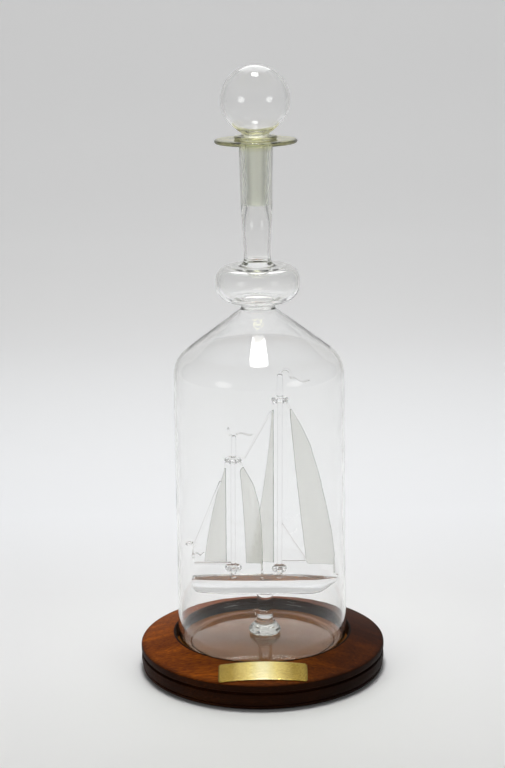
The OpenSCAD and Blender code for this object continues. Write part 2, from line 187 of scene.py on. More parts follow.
def frosted_glass(name, melted_edge_painted_dark):
    """Glass ground matt with wet grit: it scatters what is behind it into an even pale grey.
    Sheets are fire-polished along their cut edges, so the edge is clear; the fine dark line it shows
    is painted shade, a dark grey colour on the rim."""
    material, tree, shader, mm = surface(name)
    constant(shader, ior=1.47, transmission_weight=1.0)
    if melted_edge_painted_dark:
        half = add(tree, "ShaderNodeAttribute", attribute_name="half").outputs["Fac"]
        matt = add(tree, "ShaderNodeMapRange", {
            "Value": half, "From Min": 0.30 * MM, "From Max": 0.42 * MM}).outputs[0]
        # painted shade: the clear rim is coloured dark grey 77776C
        tree.links.new(mixed(tree, matt, srgb("77776C"), srgb("FBFBF8")), shader.inputs["Base Color"])
        tree.links.new(add(tree, "ShaderNodeMapRange", {
            "Value": matt, "To Min": 0.1, "To Max": 0.5}).outputs[0], shader.inputs["Roughness"])
    else:
        constant(shader, base_color=srgb("FFFFFC"), roughness=0.3)
    grit = noise(tree, mm, 6.0, 3.0, 0.6)
    tree.links.new(bump(tree, grit, 0.3, 0.05 * MM), shader.inputs["Normal"])
    lets_lamps_through(tree, shader, srgb("D8DAD4"))
    return material


def stained_wood():
    """Turned mahogany, stained brown and rubbed with a thin matt lacquer.
    The cut fibres show as fine streaks along the plank, the open pores as short dark dashes and the
    growth rings as slow faint bands; the stain takes unevenly in slow patches, and the colour darkens
    towards +X across the whole plinth. The moulded edge is darkened nearly to black, partly a darker
    stain and partly painted shade; the recess wall and a band round its lip are painted nearly black,
    which is painted shade. The recess floor was left bare under the bottle."""
    material, tree, shader, mm = surface("mahogany_stained_lacquered")
    constant(shader, roughness=0.55, specular_ior_level=0.05)
    turn = add(tree, "ShaderNodeMapping", {"Vector": mm, "Rotation": (0.0, 0.05, 0.12)})
    plank = turn.outputs["Vector"]
    along = add(tree, "ShaderNodeMapping", {"Vector": plank, "Scale": (0.06, 1.0, 1.0)}).outputs["Vector"]
    fibre = noise(tree, along, 1.5, 4.0, 0.65)
    slow = noise(tree, along, 0.10, 2.0, 0.5, 0.4)
    pore_at = add(tree, "ShaderNodeMapping", {"Vector": plank, "Scale": (0.22, 2.2, 2.2)})
    pores = noise(tree, pore_at.outputs["Vector"], 1.1, 1.0, 0.4)
    pore = add(tree, "ShaderNodeMapRange", {
        "Value": pores, "From Min": 0.57, "From Max": 0.68}).outputs[0]
    streak = calc(tree, "ADD", calc(tree, "MULTIPLY", fibre, 0.6), calc(tree, "MULTIPLY", slow, 0.4))
    colour = ramp(tree, streak, [(0.32, srgb("4C1E04")), (0.5, srgb("7C3B05")), (0.66, srgb("AA580A"))])
    dark = mixed(tree, calc(tree, "MULTIPLY", pore, 0.55), colour, srgb("2A1006"))
    part = add(tree, "ShaderNodeSeparateXYZ", {0: mm}).outputs
    # slow random patches of the stain, and a darkening towards +X across the whole plinth
    patch = calc(tree, "ADD", noise(tree, mm, 0.02, 2.0), calc(tree, "MULTIPLY", part[0], -0.008))
    stain = ramp(tree, patch, [(0.1, srgb("665E58")), (0.7, srgb("FFFFFF"))])
    # partly a darker stain, partly painted shade: below 17 mm the moulded edge is darkened to a tenth, nearly
    # black
    edge = add(tree, "ShaderNodeMapRange", {
        "Value": part[2], "From Min": 15.5, "From Max": 17.0, "To Min": 0.1, "To Max": 1.0}).outputs[0]
    stained = mixed(tree, 1.0, dark, stain, "MULTIPLY")
    out = away(tree, part)
    # painted shade: from the edge of the recess floor out to 1.5 mm past the lip, the wood is mixed 97 % of
    # the way to near-black
    floor_r, shade_r = HOLE_R - 0.3, HOLE_R + 1.5
    wall = calc(tree, "MULTIPLY", calc(tree, "GREATER_THAN", out, floor_r),
                calc(tree, "LESS_THAN", out, shade_r))
    lit = calc(tree, "MULTIPLY", edge, calc(tree, "SUBTRACT", 1.0, calc(tree, "MULTIPLY", wall, 0.97)))
    # 130703 is the near-black of the painted shade on the moulded edge and round the recess
    stained_and_shaded = mixed(tree, lit, srgb("130703"), stained)
    bare = mixed(tree, 0.35, srgb("4A320C"), dark)
    floor = calc(tree, "LESS_THAN", out, floor_r)
    tree.links.new(mixed(tree, floor, stained_and_shaded, bare), shader.inputs["Base Color"])
    relief = calc(tree, "SUBTRACT", calc(tree, "MULTIPLY", fibre, 0.5), pore)
    tree.links.new(bump(tree, relief, 0.25, 0.08 * MM), shader.inputs["Normal"])
    return material


def brass_sheet():
    """Rolled brass, brushed one way on a wheel and lacquered: long fine lines blur what it mirrors.
    The lacquer has yellowed a little. Towards both ends the colour darkens to olive, painted shade
    where the plate's reflection falls off, with slow random patches over it."""
    material, tree, shader, mm = surface("brass_brushed_lacquered")
    constant(shader, metallic=1.0, coat_weight=0.3, coat_roughness=0.2)
    along = add(tree, "ShaderNodeMapping", {"Vector": mm, "Scale": (0.03, 5.0, 5.0)})
    lines = noise(tree, along.outputs["Vector"], 1.6, 3.0, 0.7)
    cloud = noise(tree, mm, 0.12, 3.0)
    # painted shade: the colour darkens to olive with distance from the middle of the plate, with random
    # patches from the cloud
    side = calc(tree, "ABSOLUTE", add(tree, "ShaderNodeSeparateXYZ", {0: mm}).outputs[0])
    end_shade_and_patches = calc(tree, "ADD", calc(tree, "MULTIPLY", side, 0.045), calc(tree, "MULTIPLY", cloud, 0.25))
    tone = ramp(tree, end_shade_and_patches, [(0.2, srgb("EADEB0")), (0.5, srgb("D6C078")), (0.95, srgb("987E32"))])
    colour = mixed(tree, calc(tree, "MULTIPLY", lines, 0.25), tone, srgb("8F7432"))
    tree.links.new(colour, shader.inputs["Base Color"])
    rough = add(tree, "ShaderNodeMapRange", {"Value": lines, "To Min": 0.2, "To Max": 0.34})
    tree.links.new(rough.outputs[0], shader.inputs["Roughness"])
    tree.links.new(bump(tree, lines, 0.3, 0.03 * MM), shader.inputs["Normal"])
    return material


def wool_felt():
    """Pressed wool felt: matted fibres with no weave, so it is dull and slightly clouded."""
    material, tree, shader, mm = surface("wool_felt")
    constant(shader, roughness=0.95, sheen_weight=0.4, sheen_roughness=0.6)
    fibres = noise(tree, mm, 2.4, 5.0, 0.7, 1.2)
    colour = ramp(tree, fibres, [(0.3, srgb("1E1814")), (0.7, srgb("3A3029"))])
    tree.links.new(colour, shader.inputs["Base Color"])
    tree.links.new(bump(tree, fibres, 0.8, 0.3 * MM), shader.inputs["Normal"])
    return material


GLASS = clear_glass("glass_fire_polished", "DCD9B0", "B4B878", 10.0)
THREAD = clear_glass("glass_drawn_rod", "FFFFFF", "FFFFFF", 0.0)
FROSTED = frosted_glass("glass_sheet_ground_matt", True)
GROUND = frosted_glass("glass_plug_ground_matt", False)
WOOD = stained_wood()
BRASS = brass_sheet()
FELT = wool_felt()


# ---------------------------------------------------------------- shaping trees

def shaping_tree(name, sizes):
    """An empty geometry tree with named size inputs. Returns it and its input sockets by name."""
    tree = bpy.data.node_groups.new(name, "GeometryNodeTree")
    tree.interface.new_socket("Geometry", in_out="INPUT", socket_type="NodeSocketGeometry")
    for label, kind in sizes.items():
        tree.interface.new_socket(label, in_out="INPUT", socket_type="NodeSocket" + kind)
    tree.interface.new_socket("Geometry", in_out="OUTPUT", socket_type="NodeSocketGeometry")
    return tree, tree.nodes.new("NodeGroupInput").outputs


def finish_tree(tree, geometry, given, crease=0.6):
    """Closes doubled points, shades by angle, sets the piece in its place and gives it its material."""
    joined = add(tree, "GeometryNodeMergeByDistance", {"Geometry": geometry, "Distance": 2e-6})
    smooth = add(tree, "GeometryNodeSetShadeSmooth", {"Geometry": joined.outputs[0]})
    angle = add(tree, "GeometryNodeInputMeshEdgeAngle").outputs["Unsigned Angle"]
    hard = add(tree, "FunctionNodeCompare", {0: angle, 1: crease}, operation="GREATER_THAN").outputs[0]
    edges = add(tree, "GeometryNodeSetShadeSmooth", {
        "Geometry": smooth.outputs[0], "Selection": hard, "Shade Smooth": False}, domain="EDGE")
    placed = add(tree, "GeometryNodeTransform", {
        "Geometry": edges.outputs[0], "Translation": given["Place"], "Rotation": given["Lean"]})
    real = add(tree, "GeometryNodeRealizeInstances", {0: placed.outputs[0]})
    dressed = add(tree, "GeometryNodeSetMaterial", {
        "Geometry": real.outputs[0], "Material": given["Material"]})
    add(tree, "NodeGroupOutput", {0: dressed.outputs[0]})
    return tree


PLACED = {"Place": "Vector", "Lean": "Rotation", "Material": "Material"}


def turning_tree():
    """Turns an outline of points (distance from the axis, 0, height) once round the Z axis."""
    tree, given = shaping_tree("turned on the axis", {
        "Steps": "Int", "Waviness": "Float", "Wave size": "Float", "Seed": "Float", **PLACED})
    count = add(tree, "GeometryNodeAttributeDomainSize", {0: given["Geometry"]}).outputs[0]
    columns = calc(tree, "ADD", given["Steps"], 1.0)
    grid = add(tree, "GeometryNodeMeshGrid", {"Vertices X": count, "Vertices Y": columns})
    index = add(tree, "GeometryNodeInputIndex").outputs[0]
    row = calc(tree, "FLOOR", calc(tree, "DIVIDE", calc(tree, "ADD", index, 0.5), columns))
    column = calc(tree, "SUBTRACT", index, calc(tree, "MULTIPLY", row, columns))
    at = add(tree, "GeometryNodeInputPosition").outputs[0]
    outline = add(tree, "GeometryNodeSampleIndex", {
        "Geometry": given["Geometry"], "Value": at, "Index": row}, data_type="FLOAT_VECTOR")
    part = add(tree, "ShaderNodeSeparateXYZ", {0: outline.outputs[0]}).outputs
    angle = calc(tree, "MULTIPLY", calc(tree, "DIVIDE", column, given["Steps"]), math.tau)
    turned = add(tree, "ShaderNodeCombineXYZ", {
        0: calc(tree, "MULTIPLY", part[0], calc(tree, "COSINE", angle)),
        1: calc(tree, "MULTIPLY", part[0], calc(tree, "SINE", angle)), 2: part[2]})
    wave = add(tree, "ShaderNodeTexNoise", {
        "Vector": turned.outputs[0], "W": given["Seed"], "Scale": given["Wave size"], "Detail": 1.0},
        noise_dimensions="4D").outputs["Color"]
    push = scaled(tree, vec(tree, "SUBTRACT", wave, (0.5, 0.5, 0.5)), given["Waviness"])
    shaped = add(tree, "GeometryNodeSetPosition", {
        "Geometry": grid.outputs[0], "Position": turned.outputs[0], "Offset": push})
    return finish_tree(tree, shaped.outputs[0], given)


def drawing_tree():
    """Draws a round rod along a path of points, as thick at each as its girth says."""
    tree, given = shaping_tree("rod drawn along a path", {"Steps": "Int", **PLACED})
    path = add(tree, "GeometryNodeMeshToCurve", {"Mesh": given["Geometry"]}).outputs[0]
    girth = add(tree, "GeometryNodeInputNamedAttribute", {"Name": "girth"}).outputs[0]
    ring = add(tree, "GeometryNodeCurvePrimitiveCircle", {"Resolution": given["Steps"], "Radius": 1.0})
    rod = add(tree, "GeometryNodeCurveToMesh", {
        "Curve": path, "Profile Curve": ring.outputs[0], "Scale": girth, "Fill Caps": True})
    return finish_tree(tree, rod.outputs[0], given, 1.2)


def pressing_tree():
    """Thickens a gridded sheet by half on each side; where half runs out to nothing the edge closes."""
    tree, given = shaping_tree("sheet with melted edges", PLACED)
    half = add(tree, "GeometryNodeInputNamedAttribute", {"Name": "half"}).outputs[0]
    out = add(tree, "GeometryNodeInputNormal").outputs[0]
    front = add(tree, "GeometryNodeSetPosition", {
        "Geometry": given["Geometry"], "Offset": scaled(tree, out, half)})
    back = add(tree, "GeometryNodeSetPosition", {
        "Geometry": given["Geometry"],
        "Offset": scaled(tree, out, calc(tree, "MULTIPLY", half, -1.0))})
    turned = add(tree, "GeometryNodeFlipFaces", {0: back.outputs[0]})
    both = tree.nodes.new("GeometryNodeJoinGeometry")
    tree.links.new(front.outputs[0], both.inputs[0])
    tree.links.new(turned.outputs[0], both.inputs[0])
    return finish_tree(tree, both.outputs[0], given, 1.4)


TURNED, DRAWN, PRESSED = turning_tree(), drawing_tree(), pressing_tree()
LEAN = math.radians(0.76)
SHIP_X = 1.3


def make(name, tree, points, links, body, slot, nodes, faces=False, attribute=None, **inputs):
    """Shapes one piece from its points with a tree, keeps it as a plain mesh, attaches it to its body and
    hides the parts it stands for.
    """
    if name in nodes:
        name += "_glass"
    mesh = bpy.data.meshes.new(name)
    scaled_points = [tuple(c * MM for c in p) for p in points]
    mesh.from_pydata(scaled_points, [] if faces else links, links if faces else [])
    if attribute:
        label, values = attribute
        mesh.attributes.new(label, "FLOAT", "POINT").data.foreach_set("value", [v * MM for v in values])
    piece = bpy.data.objects.new(name, mesh)
    bpy.context.scene.collection.objects.link(piece)
    modifier = piece.modifiers.new("shape", "NODES")
    modifier.node_group = tree
    for item in tree.interface.items_tree:
        if item.in_out == "INPUT" and item.name in inputs:
            modifier[item.identifier] = inputs[item.name]
    bpy.context.view_layer.update()
    shaped = bpy.data.meshes.new_from_object(piece.evaluated_get(bpy.context.evaluated_depsgraph_get()))
    piece.modifiers.remove(modifier)
    piece.data = shaped
    bpy.data.meshes.remove(mesh)
    shaped.name = name
    bm = bmesh.new()
    bm.from_mesh(shaped)
    bmesh.ops.recalc_face_normals(bm, faces=bm.faces)
    if bm.calc_volume(signed=True) < 0:
        bmesh.ops.reverse_faces(bm, faces=bm.faces)
    bm.to_mesh(shaped)
    bm.free()
    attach(piece, body)
    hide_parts(*nodes)
    return piece


def in_ship(x=0.0):
    """Place and lean of something on the ship, whose pedestal leans towards the bow."""
    return {"Place": (SHIP_X * MM + x * MM * math.cos(LEAN), 0.0, -x * MM * math.sin(LEAN)),
            "Lean": (0.0, LEAN, 0.0)}


def turned(name, outline, material, body, slot, nodes, steps=128, waviness=0.0, wave_size=60.0,
           seed=0.0, where=None):
    links = [(i, i + 1) for i in range(len(outline) - 1)]
    return make(name, TURNED, [(x, 0.0, z) for x, z in outline], links, body, slot, nodes, **{
        "Steps": steps, "Waviness": waviness * MM, "Wave size": wave_size, "Seed": seed,
        "Material": material, **(where or {})})


def drawn(name, path, material, node, steps=20, closed=False):
    """A rod on the ship through (x, y, z, girth) points."""
    links = [(i, i + 1) for i in range(len(path) - 1)]
    if closed:
        links.append((len(path) - 1, 0))
    return make(name, DRAWN, [p[:3] for p in path], links, BOTTLE, "clear_glass", [node],
                attribute=("girth", [p[3] for p in path]),
                **{"Steps": steps, "Material": material, **in_ship()})


def pressed(name, panels, material, body, slot, node, where=None):
    """A piece of sheet panels, each rows of (point, half thickness there)."""
    points, half, quads = [], [], []
    for rows in panels:
        first, width = len(points), len(rows[0])
        quads += [tuple(first + (r + dr) * width + c + dc for dr, dc in ((0, 0), (0, 1), (1, 1), (1, 0)))
                  for r in range(len(rows) - 1) for c in range(width - 1)]
        points += [p for row in rows for p, _ in row]
        half += [h for row in rows for _, h in row]
    return make(name, PRESSED, points, quads, body, slot, [node], faces=True, attribute=("half", half),
                **{"Material": material, **(where or {})})


def rimmed(span, turn, pieces):
    """Stations across a sheet as (distance, share of its thickness), rounded off at both edges."""
    rim = [(min(turn * (1 - math.cos(math.radians(a))), span * 0.45), math.sin(math.radians(a)))
           for a in (0, 18, 36, 54, 72, 90)]
    mid = []
    if span > 2.2 * turn:
        mid = [(turn + (span - 2 * turn) * i / pieces, 1.0) for i in range(1, pieces)]
    return rim + mid + [(span - d, h) for d, h in reversed(rim)]


# ---------------------------------------------------------------- outline helpers (millimetres)

def arc(x, z, r, a, b, n):
    """Points on an arc about (x, z) from angle a to angle b, in degrees."""
    return [(x + r * math.cos(math.radians(a + (b - a) * i / n)),
             z + r * math.sin(math.radians(a + (b - a) * i / n))) for i in range(n + 1)]


def even(points, step):
    """The same outline with its long straights cut into pieces no longer than step."""
    out = [points[0]]
    for p in points[1:]:
        q = out[-1]
        n = max(1, math.ceil(math.dist(p, q) / step))
        out += [tuple(a + (b - a) * i / n for a, b in zip(q, p)) for i in range(1, n + 1)]
    return out


def between(table, x):
    """Straight-line reading of a table of (x, value) rows."""
    for (x0, y0), (x1, y1) in zip(table, table[1:]):
        if x <= x1:
            return y0 + (y1 - y0) * (x - x0) / (x1 - x0)
    return table[-1][1]


# ---------------------------------------------------------------- stand

def plinth_slope():
    """The radius where the plinth's slope begins, and how much it rises for each millimetre inwards."""
    slope_r = high("plinth", 0) - 1.4
    return slope_r, (high("plinth") - EDGE_Z - 0.3) / (slope_r - HOLE_R)


def make_plinth():
    r = high("plinth", 0)
    top, edge, felt, hole = high("plinth"), EDGE_Z, low("plinth"), HOLE_R
    floor = low("bottle_body") - 0.1
    slope_r, slope = plinth_slope()
    outline = [(0, felt), (r - 2.2, felt)] + arc(r - 2.2, felt + 1.6, 1.6, -90, 0, 8)
    outline += [(r - 0.6, 2.8), (r - 0.75, 2.95), (r - 1.15, 3.0), (r - 1.2, 3.1), (r - 1.2, 3.4),
                (r - 1.1, 3.52), (r - 0.6, 3.7), (r - 0.45, 3.9)]
    outline += [(r - 0.2, 5.0), (r, 6.3), (r - 0.05, 8.2), (r - 0.2, 9.8), (r - 0.5, 10.1)]
    outline += [(r - 1.5, 10.25), (r - 1.7, 10.4), (r - 1.7, 11.5), (r - 1.5, 11.65), (r - 0.4, 11.85),
                (r - 0.12, 12.1), (r, 12.6), (r, 14.2)]
    outline += arc(slope_r, edge - 1.1, 1.4, 0, 68, 10)
    outline += [(slope_r - 0.6, edge + 0.3 + 0.6 * slope),
                (hole + 0.8, edge + 0.3 + slope * (slope_r - hole - 0.8))]
    outline += arc(hole + 0.8, top - 0.95, 0.8, 90, 180, 8)
    outline += [(hole, floor + 0.3), (hole - 0.3, floor), (0, floor)]
    turned("turned_plinth", even(outline, 2.5), WOOD, STAND, "stained_wood", ["plinth"], steps=192)


def make_felt():
    r, t = high("plinth_felt", 0), high("plinth_felt")
    outline = [(0, 0.0), (r - 0.5, 0.0), (r - 0.1, 0.2), (r - 0.05, t - 0.2), (r - 0.3, t), (0, t)]
    turned("felt_disc", even(outline, 4.0), FELT, STAND, "felt", ["plinth_felt"])


def make_nameplate():
    """Thin plate bent over the cone of the plinth's slope, with its cut edges filed round."""
    inner, outer = -high("nameplate", 1), -low("nameplate", 1)
    half_w, corner = high("nameplate", 0), 1.8
    slope_r, slope = plinth_slope()
    thick, turn = 0.74, 0.3
    rows = []
    length = outer - inner
    for along, rise in rimmed(length, turn, 16):
        near = min(along, length - along)
        inset = corner - math.sqrt(max(0.0, corner ** 2 - max(0.0, corner - near) ** 2))
        wide = half_w - inset
        row = []
        for across, lift in rimmed(2 * wide, turn, 48):
            x, y = across - wide, -(inner + along)
            z = EDGE_Z + 0.32 + slope * (slope_r - math.hypot(x, y)) + thick / 2 + 0.03
            row.append(((x, y, z), thick / 2 * min(rise, lift)))
        rows.append(row)
    pressed("brass_plate", [rows], BRASS, STAND, "brass_sheet", "nameplate")


# ---------------------------------------------------------------- bottle and stopper

def punt(foot_r, rise, z, a_in=0.0, n=20):
    """The pushed-up bottom, as an arc from radius a_in out to the foot ring."""
    big = (foot_r ** 2 + rise ** 2) / (2 * rise)
    out = []
    for i in range(n + 1):
        r = a_in + (foot_r - a_in) * i / n
        out.append((r, z + rise - big + math.sqrt(big * big - r * r)))
    return out


def make_bottle():
    z0, lip = low("bottle_body"), high("bottle_neck")
    r, top_r, wall, foot_r = high("bottle_body", 0), 51.1, 1.5, 44.0
    corner = r - foot_r
    shoulder = (32.1, 184.5)
    waist_r, bore_r, waist_z = 10.2, 8.5, 225.8
    flange = high("bottle_neck", 0)
    outside = punt(foot_r, 4.0, z0)
    outside += arc(foot_r, z0 + corner, corner, -84, 0, 16)
    outside += [(top_r, shoulder[1] - 4)] + arc(*shoulder, 19.0, 0, 52.5, 20)
    outside += arc(waist_r + 1.6, waist_z, 1.6, 232.5, 95, 14)
    outside += [(13.0, 228.55)] + arc(14.5, 239.5, 10.5, -90, 0, 22) + arc(16.5, 242.2, 8.5, 0, 90, 20)
    outside += arc(12.0, 254.7, 4.0, 270, 180, 10)
    outside += [(7.75, 257.0), (9.35, 287.0)] + arc(12.4, lip - 4.9, 2.5, 180, 90, 10)
    outside += arc(flange - 1.2, lip - 1.2, 1.2, -90, 90, 14)
    inside = [(6.9, lip), (6.35, lip - 0.12), (6.0, lip - 0.5), (5.45, 285.5), (5.5, 284.8),
              (5.75, 283.6), (6.2, 281.6), (6.8, 278.6), (7.2, 274.0), (6.55, 259.0), (6.5, 254.6)]
    inside += arc(9.1, 251.2, 2.6, 180, 262, 8) + arc(16.5, 241.7, 6.7, 90, 0, 18)
    inside += arc(14.5, 239.5, 8.7, 0, -90, 18)
    inside += [(11.6, 230.5), (10.2, 229.8), (9.1, 228.8), (bore_r + 0.1, 227.3), (bore_r, 226.0)]
    inside += [(bore_r + 0.2, 225.4), (10.4, 224.1)] + arc(*shoulder, 17.5, 52.5, 0, 20)
    inside += [(r - wall, z0 + corner + 6)] + arc(foot_r, z0 + corner, corner - wall, 0, -84, 14)
    inside += list(reversed(punt(foot_r, 4.0, z0 + 2.0)))
    turned("blown_bottle", even(outside, 4.0) + even(inside, 4.0), GLASS, BOTTLE, "clear_glass",
           ["bottle_body", "bottle_knop", "bottle_neck"], steps=192, waviness=0.16, wave_size=45.0, seed=2.0)


def make_stopper():
    """The hollow ball on its disc, and the ground plug fused under it."""
    z0 = low("stopper_ball")
    centre, r, wall = high("stopper_ball") - high("stopper_ball", 0), high("stopper_ball", 0), 1.1
    disc_r, disc_t = 12.75, 1.9
    outline = arc(0, centre, r, 90, -56, 44)
    outline += [(10.2, z0 + 4.75), (9.0, z0 + 4.05), (8.25, z0 + 3.4), (8.1, z0 + 3.0), (8.35, z0 + 2.5),
                (9.2, z0 + 2.1)]
    outline += arc(disc_r - 0.95, z0 + 0.95, 0.95, 90, -90, 12)
    outline += [(4.0, z0), (3.6, z0 + 0.2), (5.0, z0 + 2.2), (6.4, z0 + 3.9), (7.6, z0 + 4.9)]
    outline += arc(0, centre, r - wall, -61, 90, 40)
    turned("stopper_ball", even(outline, 3.0), GLASS, STOPPER, "clear_glass", ["stopper_ball"],
           steps=160, waviness=0.1, wave_size=60.0, seed=5.0)
    base, top = low("stopper_plug"), high("stopper_plug")
    wide = high("stopper_plug", 0)
    tip = wide - (top - base) * 0.01266
    plug = [(0, base)] + arc(tip - 0.6, base + 0.6, 0.6, -90, 0, 6)
    plug += [(wide, top), (3.6, top)] + arc(2.1, base + 3.1, 1.5, 0, -90, 6) + [(0, base + 1.6)]
    turned("ground_plug", even(plug, 1.5), GROUND, STOPPER, "frosted_glass", ["stopper_plug"], steps=96)


# ---------------------------------------------------------------- ship

DECK = 56.0
MAIN_X, MIZZEN_X = 8.9, -19.5
FOOT_Z = 65.4


def make_pedestal():
    z0 = low("pedestal_foot") + 0.1
    stem = 4.9
    foot = [(0, z0), (8.2, z0), (9.4, z0 + 0.4), (10.0, z0 + 1.5), (9.7, z0 + 2.6), (8.7, z0 + 3.5),
            (8.3, z0 + 4.3), (7.9, z0 + 5.3), (6.7, z0 + 6.1), (6.1, z0 + 6.9), (5.9, z0 + 7.9),
            (5.2, z0 + 8.7), (4.9, 30.4), (0, 30.4)]
    turned("pedestal_foot", even(foot, 0.8), GLASS, BOTTLE, "clear_glass", ["pedestal_foot"],
           steps=128, waviness=1.1, wave_size=210.0, seed=1.0, where=in_ship())
    rod = [(0, 30.6), (4.6, 30.6), (4.85, 30.9), (stem, 31.6), (stem, 46.6), (0, 46.6)]
    turned("pedestal_stem", even(rod, 1.2), THREAD, BOTTLE, "clear_glass", ["pedestal_stem"],
           steps=64, where=in_ship())


def make_hull():
    """Glass rod ground flat for the deck and drawn in to a transom and a raked bow."""
    plan = [(-44.6, 3.9), (-43.2, 4.6), (-32, 6.2), (-18, 7.0), (-6, 7.2), (8, 7.2), (20, 6.2), (30, 4.6),
            (38, 2.9), (43, 1.4), (45.1, 0.35)]
    keel = [(-44.6, 5.6), (-44.2, 7.2), (-43.3, 8.4), (-41.6, 9.4), (-38, 9.9), (-34, 10.2), (-28, 10.55),
            (30, 10.55), (34.4, 9.6), (43.3, 3.2), (45.1, 0.9)]
    stations = sorted({x for x, _ in plan + keel} | {float(x) for x in range(-42, 45, 2)})
    rows = []
    for x in stations:
        w, d = between(plan, x), between(keel, x)
        side = [(x, w * math.cos(math.radians(a)),
                 DECK - d * (3.4 - 7.2 * math.sin(math.radians(a))) / 10.6)
                for a in [28 - i * (236 / 40) for i in range(41)]]
        lid = [(x, side[-1][1] + (side[0][1] - side[-1][1]) * i / 6, DECK) for i in range(1, 6)]
        rows.append(side + lid)
    verts = [(-44.6, 0.0, DECK - 2.6)] + [p for row in rows for p in row] + [(45.1, 0.0, DECK - 0.4)]
    n = len(rows[0])
    quads = []
    for r in range(len(rows) - 1):
        for c in range(n):
            a, b = 1 + r * n + c, 1 + r * n + (c + 1) % n
            quads.append((a, b, b + n, a + n))
    last = 1 + (len(rows) - 1) * n
    quads += [(0, 1 + (c + 1) % n, 1 + c) for c in range(n)]
    quads += [(len(verts) - 1, last + c, last + (c + 1) % n) for c in range(n)]
    tree, given = shaping_tree("hull as it is", PLACED)
    finish_tree(tree, given["Geometry"], given, 0.7)
    make("yacht_hull", tree, verts, quads, BOTTLE, "clear_glass", ["yacht_hull"], faces=True,
         **{"Material": THREAD, **in_ship()})


def spar(name, x, r, bottom, top, node, r_top=None, foot=0.0):
    """A mast: a glass rod with a swollen foot and a flame-rounded top."""
    r_top = r_top or r
    outline = [(0, bottom), (r + foot, bottom), (r + foot * 0.6, bottom + 1.0),
               (r + foot * 0.15, bottom + 2.6), (r, bottom + 3.6)]
    outline += [(r_top + (r - r_top) * 0.1, top - 1.2)]
    outline += [(r_top * math.cos(math.radians(a)), top - 0.6 + 0.6 * math.sin(math.radians(a)))
                for a in (0, 30, 60, 90)]
    turned(name, even(outline, 2.5), THREAD, BOTTLE, "clear_glass", [node], steps=48,
           waviness=0.06, wave_size=70.0, seed=x, where=in_ship(x))


def collar(name, x, z, r_out, r_tube, r_mast, node, seed):
    """A bead wound round a mast from hot thread: a fat ring with a web to the mast, a little uneven."""
    ring = r_out - r_tube - 0.1
    web = 0.6 * r_tube
    outline = [(r_mast, z + web)]
    start = math.degrees(math.asin(0.6))
    outline += [(ring + r_tube * math.cos(math.radians(a)), z + r_tube * math.sin(math.radians(a)))
                for a in [180 - start - i * (360 - 2 * start) / 30 for i in range(31)]]
    outline += [(r_mast, z - web), (r_mast, z + web)]
    turned(name, even(outline, 0.8), THREAD, BOTTLE, "clear_glass", [node], steps=64,
           waviness=0.18, wave_size=230.0, seed=seed, where=in_ship(x))


def make_masts():
    spar("main_mast", MAIN_X, 1.6, DECK - 0.2, 171.2, "main_mast", foot=0.5)
    spar("mizzen_mast", MIZZEN_X, 1.45, DECK - 0.2, 133.0, "mizzen_mast", foot=0.5)
    spar("main_topmast", MAIN_X - 0.1, 2.0, 171.2, 184.8, "main_topmast", 1.7)
    spar("mizzen_topmast", MIZZEN_X + 0.5, 1.5, 133.0, 146.6, "mizzen_topmast", 1.3)
    collar("main_foot_bead", MAIN_X, 61.9, 4.8, 1.8, 1.62, "main_foot_bead", 1.0)
    collar("main_top_bead", MAIN_X - 0.1, 169.0, 5.2, 1.6, 1.77, "main_top_bead", 2.0)
    collar("mizzen_foot_bead", MIZZEN_X, 62.4, 5.3, 1.5, 1.47, "mizzen_foot_bead", 3.0)
    collar("mizzen_top_bead", MIZZEN_X, 131.2, 5.3, 1.25, 1.47, "mizzen_top_bead", 4.0)


def bowed(p, q, sag, n):
    """A line from p to q that bows out by sag to the left of its way."""
    d = (q[0] - p[0], q[1] - p[1])
    length = math.hypot(*d)
    return [(p[0] + d[0] * t - d[1] / length * sag * 4 * t * (1 - t),
             p[1] + d[1] * t + d[0] / length * sag * 4 * t * (1 - t)) for t in (i / n for i in range(n + 1))]


def at_height(edge, z):
    """Where an edge, listed from the foot up, crosses a height."""
    return between([(pz, px) for px, pz in edge], z)


def sail(name, parts, a, b, bend, node):
    """Sheets between (leech, luff) pairs, listed from the foot up, bent to a radius over a and b in plan."""
    turn = 0.43
    chord = (b[0] - a[0], b[1] - a[1])
    length = math.hypot(*chord)
    deep = math.sqrt(bend ** 2 - length ** 2 / 4)
    cx = (a[0] + b[0]) / 2 - chord[1] / length * deep
    cy = (a[1] + b[1]) / 2 + chord[0] / length * deep
    panels = []
    for leech, luff, pieces in parts:
        foot, head = max(leech[0][1], luff[0][1]), min(leech[-1][1], luff[-1][1])
        rows = []
        for up, rise in rimmed(head - foot, turn, 48):
            left, right = at_height(leech, foot + up), at_height(luff, foot + up)
            row = []
            for across, lift in rimmed(max(right - left, 2.3 * turn), turn, pieces):
                x = left + across
                y = cy + math.sqrt(max(0.0, bend ** 2 - (x - cx) ** 2))
                row.append(((x, y, foot + up), turn * min(rise, lift)))
            rows.append(row)
        panels.append(rows)
    pressed(name, panels, FROSTED, BOTTLE, "frosted_glass", node, in_ship())


